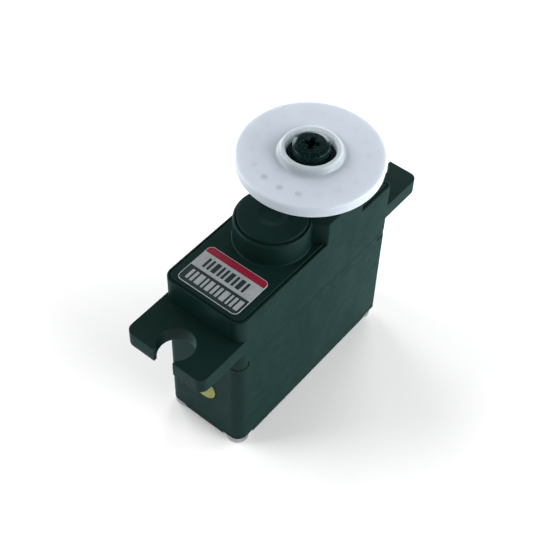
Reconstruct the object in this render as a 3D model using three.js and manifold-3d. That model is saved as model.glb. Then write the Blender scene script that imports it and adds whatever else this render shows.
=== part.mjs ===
// Metal-gear micro servo with a round horn. Millimetres, +Z up.
// The origin is at the centre of the footprint, level with the undersides of the case screw heads.
// X runs along the case, from the label end (-X) to the output end (+X).

import * as THREE from 'three';
import { mergeVertices } from 'three/addons/utils/BufferGeometryUtils.js';
import Module from 'manifold-3d';

const wasm = await Module();
wasm.setup();

// ---------------------------------------------------------------- driving dimensions

// Case, from the screw heads up. Heights are absolute.
const CASE = { length: 29.8, width: 12, corner: 1.5, outputCorner: 0.5, wall: 0.8, innerCorner: 1 };
const SCREW = { x: 13.42, y: 4.5, shank: 0.55, hole: 0.7, head: 1.47, headHeight: 0.7, top: 19.5, post: 1.75 };
const SCREW_RECESS = { reach: 0.6, width: 0.26, depth: 0.4 };
const COVER_TOP = 1.7;
const SEAM = 17.6;
const GEAR_PLATE = SEAM - 1.2;
const EAR = { bottom: 19.8, top: 22.15, length: 6.6, corner: 1.1, slotX: 19.2, slotRadius: 2.35, mouth: 3 };
const DECK = { ledge: 25.9, top: 26, inset: 0.45, underside: 25 };
const TOWER = { from: 1.6, to: 8.92, neckFrom: 0.5, neckHalf: 4.2, top: 29.4 };
const BOSS = { radius: 4.83, shoulder: 29.45, capRadius: 4.35, top: 29.85, hollow: 3.3, roof: 28.6 };
const DIMPLE = { radius: 0.45, depth: 0.25 };
const NOTCH = { x: 13.1, y: 4.3, floor: 16.5, gap: 0.12, recess: 0.05 };

const LABEL = { x: -10.8, halfX: 3.15, halfY: 4.6, corner: 0.7, thickness: 0.1 };
const STICKER = { radius: 2.05, z: 8.8, thickness: 0.1 };
const GROMMET = { halfWidth: 2.3, bottom: 4, top: 6, flange: 0.3, flangeDepth: 0.5, nose: 0.9, inside: 0.8 };
const WIRE = { radius: 0.5, spacing: 1.35 };

// The three gear axes lie in the XZ plane.
const MOTOR_X = -7.3;
const IDLER_X = -1.7;
const OUTPUT_X = 5.25;
const PRESSURE_ANGLE = THREE.MathUtils.degToRad(20);
const BACKLASH = 0.04;
const PIN = { radius: 0.5, seat: 0.52, bore: 0.55 };
const IDLER_PIN = { bottom: 16.6, top: 29.1 };
const UPPER_PIN = { bottom: 19.65, collar: 0.85, collarTop: 19.8, top: 25.65 };

// Lowest and highest face of each toothed length.
const MOTOR_PINION = [17.7, 19.4];
const GEAR_1 = { wheel: [18, 19.2], pinion: [19, 21] };
const GEAR_2 = { wheel: [19.9, 20.9], pinion: [20.7, 22.9] };
const GEAR_3 = { wheel: [21.5, 22.6], pinion: [22.4, 25.1], sleeve: 1.3, bottom: 21.2, top: 28.3 };
const OUTPUT_WHEEL = [22.9, 24.8];

const SHAFT = {
  bottom: 12, foot: 1.5, footTop: 17.8, body: 2, bodyTop: 24, journal: 2.45,
  thread: 0.85, threadBottom: 28.7, socket: 1.15, socketTop: 14.2,
};
const SPLINE = { teeth: 24, root: 2.15, tip: 2.4, bottom: 29.6, top: 33.4 };
const BEARING = { inner: 2.5, outer: 3.2, bottom: 25.4, top: 29.5 };
const BUSHING = { inner: 1.55, outer: 2.2, flange: 2.8, flangeThickness: 0.5 };

const HORN = { radius: 9.06, bottom: 33.4, top: 34.9, edge: 0.2, hub: 3.7, hubTop: 35.85 };
const COLLAR = { radius: 3.6, bottom: 29.9, socket: 2.7 };
const RECESS = { radius: 3.05, floor: 34.3, hole: 0.9 };
const PILOT = { count: 18, phase: 6, radius: 0.45, circle: 6.9, depth: 1.1 };
const HORN_SCREW = {
  tip: 29, shank: 0.7, flange: 2.8, flangeTop: 34.75, head: 2.27, edge: 35.65, shoulder: 36.1, top: 36.5,
};
const HORN_SCREW_RECESS = { reach: 0.85, width: 0.44, floor: 35.6 };

const MOTOR = { radius: 4.55, wall: 0.4, bottom: 4.6, top: 15.9, bossRadius: 1.9, bossTop: 17.2, eye: 0.95 };
const END_CAP = { bottom: 3.8, edge: 0.2, floor: 4.8, plugTop: 5.4, plugWall: 0.6, slotY: 2.6, slot: 0.3 };
const ROTOR_SHAFT = { bottom: 4.2, top: 19.4 };
const ARMATURE = { poles: 3, bottom: 7.2, top: 13.4, hub: 1.25, neck: 0.45 };
const POLE_SHOE = { inner: 2.65, outer: 3.15, half: 48 };
const WINDING = { inner: 1.4, outer: 2.55, innerHalf: 24, outerHalf: 38, overhang: 0.55 };
const MAGNET = { inner: 3.45, outer: 4.1, half: 62, bottom: 6.6, top: 14.4 };
const COMMUTATOR = { radius: 1.25, bottom: 5.15, top: 6.5, gap: 0.14, gapFloor: 1 };
const BRUSH = { half: 0.5, thickness: 0.2, tip: 1.35, tipBottom: 5.3, leg: 2.45, bottom: 3.45, top: 6.1 };

const BOARD = { bottom: 2.7, top: 3.4, halfLength: 12.6, halfWidth: 4.9, cut: 2.4 };
const CHIP_BOTTOM = 1.9;
const CAPACITOR = { x: -1, radius: 1.3, top: 7.2 };
const POT = { radius: 4.4, bottom: 5, top: 11, wall: 0.7, floor: 0.9, eye: 1.2 };
const WIPER = { shaft: 1.05, bottom: 5.3, top: 13.9 };
const WIPER_ARM = { bottom: 7.4, thickness: 0.4, reach: 3.4, half: 0.5, tip: 6.1 };
const TERMINAL = { x: 2.6, spacing: 2.2, halfX: 0.12, halfY: 0.3 };

const CLEARANCE = 0.05;
const SEAM_GAP = 0.02;
const OVERCUT = 1;
const SIDES = { small: 12, pin: 16, medium: 20, large: 32, boss: 40, horn: 56 };

// ---------------------------------------------------------------- materials

const finishes = {
  black_plastic: { color: 0x1d2423, roughness: 0.5, metalness: 0 },
  white_nylon: { color: 0xd8dee6, roughness: 0.35, metalness: 0 },
  black_steel: { color: 0x14201f, roughness: 0.4, metalness: 0.8 },
  steel: { color: 0xb5b8ba, roughness: 0.3, metalness: 1 },
  motor_steel: { color: 0x9da1a3, roughness: 0.35, metalness: 1 },
  brass: { color: 0xc9a04a, roughness: 0.3, metalness: 1 },
  copper: { color: 0xb0643a, roughness: 0.35, metalness: 1 },
  magnet: { color: 0x3b3b3f, roughness: 0.6, metalness: 0.4 },
  board: { color: 0x1f5a35, roughness: 0.5, metalness: 0 },
  chip: { color: 0x1a1a1b, roughness: 0.45, metalness: 0 },
  amber: { color: 0x9a6a3c, roughness: 0.5, metalness: 0 },
  rubber: { color: 0x161616, roughness: 0.85, metalness: 0 },
  label: { color: 0xc9cdd0, roughness: 0.3, metalness: 0.3 },
  sticker: { color: 0xd9c52e, roughness: 0.55, metalness: 0 },
};

// ---------------------------------------------------------------- solids

// Turns a closed three.js geometry into a manifold solid with its faces pointing out.
function solid(geometry) {
  const bare = geometry.clone();
  bare.deleteAttribute('normal');
  bare.deleteAttribute('uv');
  const merged = mergeVertices(bare);
  const indices = merged.index.array;
  const vertices = merged.attributes.position;
  const triangles = [];
  let volume = 0;
  const a = new THREE.Vector3();
  const b = new THREE.Vector3();
  const c = new THREE.Vector3();
  for (let i = 0; i < indices.length; i += 3) {
    const [p, q, r] = indices.slice(i, i + 3);
    if (p === q || q === r || r === p) continue;
    triangles.push(p, q, r);
    a.fromBufferAttribute(vertices, p);
    b.fromBufferAttribute(vertices, q);
    c.fromBufferAttribute(vertices, r);
    volume += a.dot(b.cross(c));
  }
  if (volume < 0) triangles.reverse();
  return new wasm.Manifold(new wasm.Mesh({
    numProp: 3,
    vertProperties: new Float32Array(vertices.array),
    triVerts: new Uint32Array(triangles),
  }));
}

const join = (pieces) => pieces.reduce((whole, piece) => whole.add(piece));
const cut = (body, tools) => tools.reduce((rest, tool) => rest.subtract(tool), body);

// An outline in XY, raised from z0 to z1.
function prism(points, z0, z1) {
  const shape = new THREE.Shape(points);
  const geometry = new THREE.ExtrudeGeometry(shape, { depth: z1 - z0, bevelEnabled: false });
  return solid(geometry.translate(0, 0, z0));
}

function box(x0, x1, y0, y1, z0, z1) {
  const geometry = new THREE.BoxGeometry(x1 - x0, y1 - y0, z1 - z0);
  return solid(geometry.translate((x0 + x1) / 2, (y0 + y1) / 2, (z0 + z1) / 2));
}

// An upright cylinder on the local Z axis.
function post(radius, z0, z1, sides = SIDES.medium) {
  const geometry = new THREE.CylinderGeometry(radius, radius, z1 - z0, sides);
  return solid(geometry.rotateX(Math.PI / 2).translate(0, 0, (z0 + z1) / 2));
}

const postAt = (x, y, ...rest) => post(...rest).translate([x, y, 0]);

// A profile of [radius, height] points, turned about Z. It starts and ends on the axis or closes on itself.
function turned(profile, sides = SIDES.medium) {
  const points = profile.map(([radius, height]) => new THREE.Vector2(radius, height));
  return solid(new THREE.LatheGeometry(points, sides).rotateX(Math.PI / 2));
}

function ring(inner, outer, z0, z1, sides) {
  return turned([[inner, z0], [outer, z0], [outer, z1], [inner, z1], [inner, z0]], sides);
}

// The two bars of a cross recess.
function cross({ reach, width }, z0, z1) {
  const bar = box(-reach, reach, -width / 2, width / 2, z0, z1);
  return [bar, bar.rotate([0, 0, 90])];
}

// ---------------------------------------------------------------- outlines

// Points along an arc, its angles in degrees.
function arc(x, y, radius, from, to, steps) {
  const points = [];
  for (let i = 0; i <= steps; i += 1) {
    const angle = THREE.MathUtils.degToRad(from + (to - from) * i / steps);
    points.push(new THREE.Vector2(x + radius * Math.cos(angle), y + radius * Math.sin(angle)));
  }
  return points;
}

// The sector between two radii, each with its own half angle.
const sector = (inner, innerHalf, outer, outerHalf, steps) =>
  [...arc(0, 0, outer, -outerHalf, outerHalf, steps), ...arc(0, 0, inner, innerHalf, -innerHalf, steps)];

// A rectangle with round corners. Those at its -X end may have their own radius.
function roundedRectangle(halfX, halfY, radius, steps = 6, lowRadius = radius) {
  const corners = [[1, 1, 0, radius], [-1, 1, 90, lowRadius], [-1, -1, 180, lowRadius], [1, -1, 270, radius]];
  return corners.flatMap(([sx, sy, start, r]) =>
    arc(sx * (halfX - r), sy * (halfY - r), r, start, start + 90, steps));
}

function caseOutline(inset) {
  const halfX = CASE.length / 2 - inset;
  const halfY = CASE.width / 2 - inset;
  return roundedRectangle(halfX, halfY, CASE.outputCorner - inset, 6, CASE.corner - inset);
}

// Involute gear: positive shift fattens the teeth, and the mating gear takes the same shift negated.
function gearOutline({ teeth, module, shift, flankSteps, phase = 0 }) {
  const pitch = teeth * module / 2;
  const base = pitch * Math.cos(PRESSURE_ANGLE);
  const tip = pitch + module * (0.92 + shift);
  const root = pitch - module * (1.25 - shift);
  const involute = (angle) => Math.tan(angle) - angle;
  const halfAtPitch = (Math.PI / 2 + 2 * shift * Math.tan(PRESSURE_ANGLE)) / teeth - BACKLASH / 2 / pitch;
  const halfAtBase = halfAtPitch + involute(PRESSURE_ANGLE);
  const halfAt = (radius) => halfAtBase - involute(Math.acos(Math.min(1, base / radius)));
  const start = Math.max(base, root);
  const flank = [[root, halfAt(start)]];
  for (let i = 1; i <= flankSteps; i += 1) {
    const radius = start + (tip - start) * i / flankSteps;
    flank.push([radius, halfAt(radius)]);
  }
  const points = [];
  for (let tooth = 0; tooth < teeth; tooth += 1) {
    const centre = phase + tooth * 2 * Math.PI / teeth;
    const place = (radius, angle) => new THREE.Vector2(radius * Math.cos(angle), radius * Math.sin(angle));
    flank.forEach(([radius, half]) => points.push(place(radius, centre - half)));
    [...flank].reverse().forEach(([radius, half]) => points.push(place(radius, centre + half)));
  }
  return points;
}

// ---------------------------------------------------------------- gear train

const moduleFor = (distance, teethSum) => 2 * distance / teethSum;
const firstModule = moduleFor(IDLER_X - MOTOR_X, 9 + 45);
const middleModule = moduleFor(IDLER_X - MOTOR_X, 9 + 36);
const lastModule = moduleFor(OUTPUT_X - IDLER_X, 16 + 30);

const teethSets = {
  motorPinion: { teeth: 9, module: firstModule, shift: 0.47, flankSteps: 3 },
  firstWheel: { teeth: 45, module: firstModule, shift: -0.47, flankSteps: 1 },
  middlePinion: { teeth: 9, module: middleModule, shift: 0.47, flankSteps: 3 },
  middleWheel: { teeth: 36, module: middleModule, shift: -0.47, flankSteps: 1 },
  lastPinion: { teeth: 16, module: lastModule, shift: 0.15, flankSteps: 2 },
  lastWheel: { teeth: 30, module: lastModule, shift: -0.15, flankSteps: 1 },
};

function teeth(name, [z0, z1], halfPitchTurn = false) {
  const set = teethSets[name];
  return prism(gearOutline({ ...set, phase: halfPitchTurn ? Math.PI / set.teeth : 0 }), z0, z1);
}

// ---------------------------------------------------------------- scene graph

const servo = new THREE.Group();
servo.name = 'servo_motor';

function axisGroup(x) {
  const group = new THREE.Group();
  group.position.x = x;
  servo.add(group);
  return group;
}

const motorAxis = axisGroup(MOTOR_X);
const idlerAxis = axisGroup(IDLER_X);
const outputAxis = axisGroup(OUTPUT_X);

function addPart(parent, name, body, finish) {
  const { vertProperties, triVerts } = body.getMesh();
  const geometry = new THREE.BufferGeometry();
  geometry.setAttribute('position', new THREE.BufferAttribute(new Float32Array(vertProperties), 3));
  geometry.setIndex(new THREE.BufferAttribute(new Uint32Array(triVerts), 1));
  geometry.computeVertexNormals();
  const mesh = new THREE.Mesh(geometry, new THREE.MeshStandardMaterial(finishes[finish]));
  mesh.name = name;
  parent.add(mesh);
  return mesh;
}

const corners = [[1, 1], [-1, 1], [-1, -1], [1, -1]];

const screwPosts = (radius, z0, z1, sides) =>
  corners.map(([sx, sy]) => postAt(sx * SCREW.x, sy * SCREW.y, radius, z0, z1, sides));

// Everything beyond inX and inY at one corner of the case.
function cornerBlock([sx, sy], inX, inY, z0, z1) {
  const x = [sx * inX, sx * CASE.length].sort((p, q) => p - q);
  const y = [sy * inY, sy * CASE.width].sort((p, q) => p - q);
  return box(...x, ...y, z0, z1);
}

// ---------------------------------------------------------------- case

// At each seam the lower piece gives up SEAM_GAP to the piece above.
function bottomCover() {
  const plate = prism(caseOutline(0), SCREW.headHeight, COVER_TOP - SEAM_GAP);
  return cut(plate, screwPosts(SCREW.hole, 0, COVER_TOP + OVERCUT, SIDES.small));
}

function interior(z0, z1) {
  const halfX = CASE.length / 2 - CASE.wall;
  const halfY = CASE.width / 2 - CASE.wall;
  const hollow = prism(roundedRectangle(halfX, halfY, CASE.innerCorner, 3), z0, z1);
  return cut(hollow, screwPosts(SCREW.post, z0 - OVERCUT, z1 + OVERCUT));
}

function middleCase() {
  const shell = prism(caseOutline(0), COVER_TOP, SEAM - SEAM_GAP);
  const plateHole = (x, radius, sides) =>
    postAt(x, 0, radius, GEAR_PLATE - OVERCUT, SEAM + OVERCUT, sides);
  const wall = [CASE.length / 2 - CASE.wall - OVERCUT, CASE.length / 2 + OVERCUT];
  return cut(shell, [
    interior(COVER_TOP - OVERCUT, GEAR_PLATE),
    ...corners.map((corner) => cornerBlock(corner, NOTCH.x, NOTCH.y, NOTCH.floor, SEAM + OVERCUT)),
    ...screwPosts(SCREW.hole, 0, SEAM + OVERCUT, SIDES.small),
    plateHole(MOTOR_X, MOTOR.bossRadius + 2 * CLEARANCE),
    plateHole(IDLER_X, PIN.seat, SIDES.small),
    plateHole(OUTPUT_X, BUSHING.outer + CLEARANCE),
    box(...wall, -GROMMET.halfWidth, GROMMET.halfWidth, GROMMET.bottom, GROMMET.top),
  ]);
}

// A tab on the case's end, with a slot that is open at the tab's own end.
function ear() {
  const end = CASE.length / 2 + EAR.length;
  const half = CASE.width / 2;
  const rootX = CASE.length / 2 - CASE.corner;
  const outline = [
    new THREE.Vector2(rootX, -half),
    ...arc(end - EAR.corner, -half + EAR.corner, EAR.corner, -90, 0, 5),
    ...arc(end - EAR.corner, half - EAR.corner, EAR.corner, 0, 90, 5),
    new THREE.Vector2(rootX, half),
  ];
  const cutZ = [EAR.bottom - OVERCUT, EAR.top + OVERCUT];
  return cut(prism(outline, EAR.bottom, EAR.top), [
    postAt(EAR.slotX, 0, EAR.slotRadius, ...cutZ, SIDES.large),
    box(EAR.slotX, end + OVERCUT, -EAR.mouth / 2, EAR.mouth / 2, ...cutZ),
  ]);
}

// Feet of the top case that stand in the middle case's corner notches.
function cornerFeet() {
  const footprint = prism(caseOutline(NOTCH.recess), NOTCH.floor + NOTCH.gap, SEAM + NOTCH.gap);
  const inX = NOTCH.x + NOTCH.gap;
  const inY = NOTCH.y + NOTCH.gap;
  return cut(footprint, [
    box(-inX, inX, -CASE.width, CASE.width, 0, DECK.top),
    box(-CASE.length, CASE.length, -inY, inY, 0, DECK.top),
  ]);
}

function gearBoss() {
  return turned([
    [0, DECK.underside], [BOSS.radius, DECK.underside], [BOSS.radius, BOSS.shoulder],
    [BOSS.capRadius, BOSS.shoulder], [BOSS.capRadius, BOSS.top], [DIMPLE.radius, BOSS.top],
    [0, BOSS.top - DIMPLE.depth],
  ], SIDES.boss).translate([IDLER_X, 0, 0]);
}

function tower() {
  const half = CASE.width / 2;
  const outline = [
    [TOWER.neckFrom, -TOWER.neckHalf], [TOWER.from, -half], [TOWER.to, -half],
    [TOWER.to, half], [TOWER.from, half], [TOWER.neckFrom, TOWER.neckHalf],
  ];
  return prism(outline.map(([x, y]) => new THREE.Vector2(x, y)), DECK.underside, TOWER.top);
}

function topCase() {
  const outside = join([
    prism(caseOutline(0), SEAM, DECK.ledge),
    prism(caseOutline(DECK.inset), DECK.underside, DECK.top),
    tower(),
    gearBoss(),
    ear(),
    ear().rotate([0, 0, 180]),
    cornerFeet(),
  ]);
  const inside = DECK.underside - OVERCUT;
  return cut(outside, [
    interior(SEAM - 3, DECK.underside),
    ...screwPosts(SCREW.hole, NOTCH.floor - OVERCUT, SCREW.top + 0.3, SIDES.small),
    postAt(IDLER_X, 0, BOSS.hollow, inside, BOSS.roof),
    postAt(IDLER_X, 0, PIN.seat, inside, IDLER_PIN.top + 0.1, SIDES.small),
    postAt(MOTOR_X, 0, PIN.seat, inside, UPPER_PIN.top + CLEARANCE, SIDES.small),
    postAt(OUTPUT_X, 0, BEARING.outer + SEAM_GAP, inside, TOWER.top + OVERCUT, SIDES.boss),
  ]);
}

// Pan-headed screw with a cross recess, pointing up, its head's underside at z = 0.
function caseScrew() {
  const headTop = SCREW.headHeight - SEAM_GAP;
  const body = turned([
    [0, 0], [SCREW.head - 0.5, 0], [SCREW.head - 0.16, 0.12], [SCREW.head, 0.36], [SCREW.head, headTop],
    [SCREW.shank, headTop], [SCREW.shank, SCREW.top - 0.8], [0, SCREW.top],
  ], SIDES.pin);
  return cut(body, cross(SCREW_RECESS, -OVERCUT, SCREW_RECESS.depth));
}

addPart(servo, 'bottom_cover', bottomCover(), 'black_plastic');
addPart(servo, 'middle_case', middleCase(), 'black_plastic');
addPart(servo, 'top_case', topCase(), 'black_plastic');
corners.forEach(([sx, sy], i) => {
  const screw = addPart(servo, `case_screw_${i + 1}`, caseScrew(), 'steel');
  screw.position.set(sx * SCREW.x, sy * SCREW.y, 0);
});

// ---------------------------------------------------------------- label, sticker and cable inlet

const labelOutline = roundedRectangle(LABEL.halfX, LABEL.halfY, LABEL.corner, 4);
const label = addPart(servo, 'label', prism(labelOutline, 0, LABEL.thickness), 'label');
label.position.set(LABEL.x, 0, DECK.top + SEAM_GAP);

const dot = post(STICKER.radius, 0, STICKER.thickness, SIDES.large);
const sticker = addPart(servo, 'inspection_sticker', dot, 'sticker');
sticker.rotation.y = -Math.PI / 2;
sticker.position.set(-CASE.length / 2 - SEAM_GAP, 0, STICKER.z);

// Rubber block in the end wall, with a flange on each side of it and a hole for each of three wires.
function cableGrommet() {
  const inner = CASE.length / 2 - CASE.wall - 2 * CLEARANCE;
  const outer = CASE.length / 2 + 2 * CLEARANCE;
  const half = GROMMET.halfWidth - CLEARANCE;
  const flangeHalf = half + GROMMET.flange;
  const flangeZ = [GROMMET.bottom - GROMMET.flange, GROMMET.top + GROMMET.flange];
  const blockX = [inner - GROMMET.inside, outer + GROMMET.nose];
  const body = join([
    box(...blockX, -half, half, GROMMET.bottom + CLEARANCE, GROMMET.top - CLEARANCE),
    box(inner - GROMMET.inside, inner, -flangeHalf, flangeHalf, ...flangeZ),
    box(outer, outer + GROMMET.flangeDepth, -flangeHalf, flangeHalf, ...flangeZ),
  ]);
  const height = (GROMMET.bottom + GROMMET.top) / 2;
  const wireHole = post(WIRE.radius, 0, CASE.length, SIDES.small).rotate([0, 90, 0]);
  return cut(body, [-1, 0, 1].map((i) => wireHole.translate([0, i * WIRE.spacing, height])));
}
addPart(servo, 'cable_grommet', cableGrommet(), 'rubber');

// ---------------------------------------------------------------- output

function outputShaft() {
  const serrations = [];
  for (let i = 0; i < SPLINE.teeth * 2; i += 1) {
    const radius = i % 2 ? SPLINE.root : SPLINE.tip;
    const angle = Math.PI * i / SPLINE.teeth;
    serrations.push(new THREE.Vector2(radius * Math.cos(angle), radius * Math.sin(angle)));
  }
  const shaft = turned([
    [0, SHAFT.bottom], [SHAFT.foot, SHAFT.bottom], [SHAFT.foot, SHAFT.footTop],
    [SHAFT.body, SHAFT.footTop], [SHAFT.body, SHAFT.bodyTop], [SHAFT.journal, OUTPUT_WHEEL[1]],
    [SHAFT.journal, SPLINE.bottom], [0, SPLINE.bottom],
  ], SIDES.large);
  const body = join([
    shaft,
    teeth('lastWheel', OUTPUT_WHEEL, true),
    prism(serrations, SPLINE.bottom - 0.2, SPLINE.top),
  ]);
  return cut(body, [
    post(SHAFT.thread, SHAFT.threadBottom, SPLINE.top + OVERCUT, SIDES.pin),
    post(SHAFT.socket, SHAFT.bottom - OVERCUT, SHAFT.socketTop, SIDES.pin),
  ]);
}

function discHorn() {
  const socketTop = SPLINE.top + 2 * CLEARANCE;
  const body = turned([
    [COLLAR.socket, COLLAR.bottom], [COLLAR.radius, COLLAR.bottom], [COLLAR.radius, HORN.bottom],
    [HORN.radius, HORN.bottom], [HORN.radius, HORN.top - HORN.edge], [HORN.radius - HORN.edge, HORN.top],
    [HORN.hub, HORN.top], [HORN.hub - 0.1, HORN.hubTop], [RECESS.radius, HORN.hubTop],
    [RECESS.radius, RECESS.floor], [RECESS.hole, RECESS.floor], [RECESS.hole, socketTop],
    [COLLAR.socket, socketTop], [COLLAR.socket, COLLAR.bottom],
  ], SIDES.horn);
  const pilots = [];
  for (let i = 0; i < PILOT.count; i += 1) {
    const hole = post(PILOT.radius, HORN.bottom - OVERCUT, HORN.bottom + PILOT.depth, 6);
    pilots.push(hole.translate([PILOT.circle, 0, 0]).rotate([0, 0, PILOT.phase + 360 * i / PILOT.count]));
  }
  return cut(body, pilots);
}

// Flanged pan-head screw that holds the horn down.
function hornScrew() {
  const { tip, shank, flange, flangeTop, head, edge, shoulder, top } = HORN_SCREW;
  const seat = RECESS.floor + CLEARANCE;
  const body = turned([
    [0, tip], [shank, tip + 0.4], [shank, seat], [flange, seat],
    [flange, flangeTop - 0.1], [flange - 0.1, flangeTop], [head, flangeTop], [head, edge],
    [head - 0.12, shoulder], [head - 0.42, top - 0.12], [head - 1.07, top], [0, top],
  ], 24);
  return cut(body, cross(HORN_SCREW_RECESS, HORN_SCREW_RECESS.floor, top + OVERCUT));
}

// Flanged bushing, pushed up into the gear plate.
function lowerBushing() {
  const flangeTop = GEAR_PLATE - SEAM_GAP;
  const flangeBottom = flangeTop - BUSHING.flangeThickness;
  return turned([
    [BUSHING.inner, flangeBottom], [BUSHING.flange, flangeBottom], [BUSHING.flange, flangeTop],
    [BUSHING.outer, flangeTop], [BUSHING.outer, SEAM], [BUSHING.inner, SEAM], [BUSHING.inner, flangeBottom],
  ]);
}

const outputBearing = ring(BEARING.inner, BEARING.outer, BEARING.bottom, BEARING.top, SIDES.large);

addPart(outputAxis, 'output_shaft', outputShaft(), 'steel');
addPart(outputAxis, 'disc_horn', discHorn(), 'white_nylon');
addPart(outputAxis, 'horn_screw', hornScrew(), 'black_steel');
addPart(outputAxis, 'output_bearing', outputBearing, 'brass');
addPart(outputAxis, 'lower_bushing', lowerBushing(), 'brass');

// ---------------------------------------------------------------- gears on their pins

// Toothed lengths and sleeves on one bore.
const bored = (pieces, radius = PIN.bore) => cut(join(pieces), [post(radius, 0, HORN.top, SIDES.pin)]);

const gear1 = bored([teeth('firstWheel', GEAR_1.wheel), teeth('middlePinion', GEAR_1.pinion)]);
const gear2 = bored([teeth('middleWheel', GEAR_2.wheel), teeth('middlePinion', GEAR_2.pinion)]);
const gear3 = bored([
  post(GEAR_3.sleeve, GEAR_3.bottom, GEAR_3.wheel[0] + 0.1),
  teeth('middleWheel', GEAR_3.wheel, true),
  teeth('lastPinion', GEAR_3.pinion),
  post(GEAR_3.sleeve, GEAR_3.pinion[1] - 0.2, GEAR_3.top),
]);
const upperPin = join([
  post(PIN.radius, UPPER_PIN.bottom, UPPER_PIN.top, SIDES.pin),
  post(UPPER_PIN.collar, UPPER_PIN.bottom, UPPER_PIN.collarTop, SIDES.pin),
]);

addPart(idlerAxis, 'gear_1', gear1, 'brass');
addPart(motorAxis, 'gear_2', gear2, 'brass');
addPart(idlerAxis, 'gear_3', gear3, 'steel');
addPart(idlerAxis, 'idler_pin', post(PIN.radius, IDLER_PIN.bottom, IDLER_PIN.top, SIDES.pin), 'steel');
addPart(motorAxis, 'upper_pin', upperPin, 'steel');

// ---------------------------------------------------------------- motor

// Deep-drawn can, open below, with a boss round its upper bushing.
function motorCan() {
  const inner = MOTOR.radius - MOTOR.wall;
  const innerTop = MOTOR.top - MOTOR.wall;
  return turned([
    [MOTOR.eye, MOTOR.bossTop], [MOTOR.eye, innerTop], [inner, innerTop],
    [inner, MOTOR.bottom], [MOTOR.radius, MOTOR.bottom], [MOTOR.radius, innerTop],
    [inner, MOTOR.top], [MOTOR.bossRadius, MOTOR.top], [MOTOR.bossRadius, MOTOR.bossTop],
    [MOTOR.eye, MOTOR.bossTop],
  ], SIDES.large);
}

function motorEndCap() {
  const plug = MOTOR.radius - MOTOR.wall - CLEARANCE;
  const well = plug - END_CAP.plugWall;
  const flangeTop = MOTOR.bottom - SEAM_GAP;
  const body = turned([
    [0, END_CAP.bottom], [MOTOR.radius - END_CAP.edge, END_CAP.bottom],
    [MOTOR.radius, END_CAP.bottom + END_CAP.edge], [MOTOR.radius, flangeTop],
    [plug, flangeTop], [plug, END_CAP.plugTop], [well, END_CAP.plugTop], [well, END_CAP.floor],
    [0, END_CAP.floor],
  ], SIDES.large);
  const brushSlots = [-1, 1].map((side) => {
    const centre = side * END_CAP.slotY;
    const halfX = BRUSH.half + 0.15;
    return box(-halfX, halfX, centre - END_CAP.slot, centre + END_CAP.slot, 0, END_CAP.plugTop);
  });
  return cut(body, [post(PIN.bore, END_CAP.bottom + 0.3, MOTOR.top, SIDES.pin), ...brushSlots]);
}

// Laminated armature: a T-shaped pole for each coil.
function armatureCore() {
  const height = [ARMATURE.bottom, ARMATURE.top];
  const shoe = sector(POLE_SHOE.inner, POLE_SHOE.half, POLE_SHOE.outer, POLE_SHOE.half, 8);
  const pole = join([
    box(PIN.radius, POLE_SHOE.inner + 0.2, -ARMATURE.neck, ARMATURE.neck, ...height),
    prism(shoe, ...height),
  ]);
  const pieces = [post(ARMATURE.hub, ...height)];
  for (let i = 0; i < ARMATURE.poles; i += 1) {
    pieces.push(pole.rotate([0, 0, 360 * i / ARMATURE.poles]));
  }
  return bored(pieces, PIN.seat);
}

// One coil wound round an armature pole's neck.
function winding() {
  const outline = sector(WINDING.inner, WINDING.innerHalf, WINDING.outer, WINDING.outerHalf, 5);
  const neck = ARMATURE.neck + CLEARANCE;
  return cut(prism(outline, ARMATURE.bottom - WINDING.overhang, ARMATURE.top + WINDING.overhang), [
    box(1, 3, -neck, neck, ARMATURE.bottom - CLEARANCE, ARMATURE.top + CLEARANCE),
  ]);
}

function magnet() {
  return prism(sector(MAGNET.inner, MAGNET.half, MAGNET.outer, MAGNET.half, 12), MAGNET.bottom, MAGNET.top);
}

// Copper sleeve, nearly cut through between its three segments.
function commutator() {
  const { radius, bottom, top, gap, gapFloor } = COMMUTATOR;
  const slot = box(gapFloor, radius + OVERCUT, -gap / 2, gap / 2, bottom - OVERCUT, top + OVERCUT);
  return cut(ring(PIN.seat, radius, bottom, top, SIDES.medium), [
    slot, slot.rotate([0, 0, 120]), slot.rotate([0, 0, 240]),
  ]);
}

// Leaf brush beside the commutator, with its terminal through the end cap.
function brush() {
  const { half, thickness, tip, tipBottom, leg, bottom, top } = BRUSH;
  return join([
    box(-half, half, leg, leg + 0.3, bottom, top),
    box(-half, half, tip, leg + 0.1, top - thickness, top),
    box(-half, half, tip, tip + 0.25, tipBottom, top),
  ]);
}

const motorBushing = ring(PIN.bore, MOTOR.eye - 0.03, MOTOR.top - 0.3, MOTOR.bossTop - 0.1, SIDES.medium);
const motorShaft = post(PIN.radius, ROTOR_SHAFT.bottom, ROTOR_SHAFT.top, SIDES.pin);

addPart(motorAxis, 'motor_can', motorCan(), 'motor_steel');
addPart(motorAxis, 'motor_end_cap', motorEndCap(), 'chip');
addPart(motorAxis, 'motor_bushing', motorBushing, 'brass');
addPart(motorAxis, 'motor_shaft', motorShaft, 'steel');
addPart(motorAxis, 'motor_pinion', bored([teeth('motorPinion', MOTOR_PINION)], PIN.seat), 'brass');
addPart(motorAxis, 'armature_core', armatureCore(), 'motor_steel');
addPart(motorAxis, 'commutator', commutator(), 'copper');
for (let i = 0; i < ARMATURE.poles; i += 1) {
  const coil = addPart(motorAxis, `winding_${i + 1}`, winding(), 'copper');
  coil.rotation.z = i * 2 * Math.PI / ARMATURE.poles;
}
[0, 1].forEach((side) => {
  const turn = side * Math.PI;
  addPart(motorAxis, `magnet_${side + 1}`, magnet(), 'magnet').rotation.z = turn;
  addPart(motorAxis, `brush_${side + 1}`, brush(), 'copper').rotation.z = turn;
});

// ---------------------------------------------------------------- potentiometer

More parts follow.
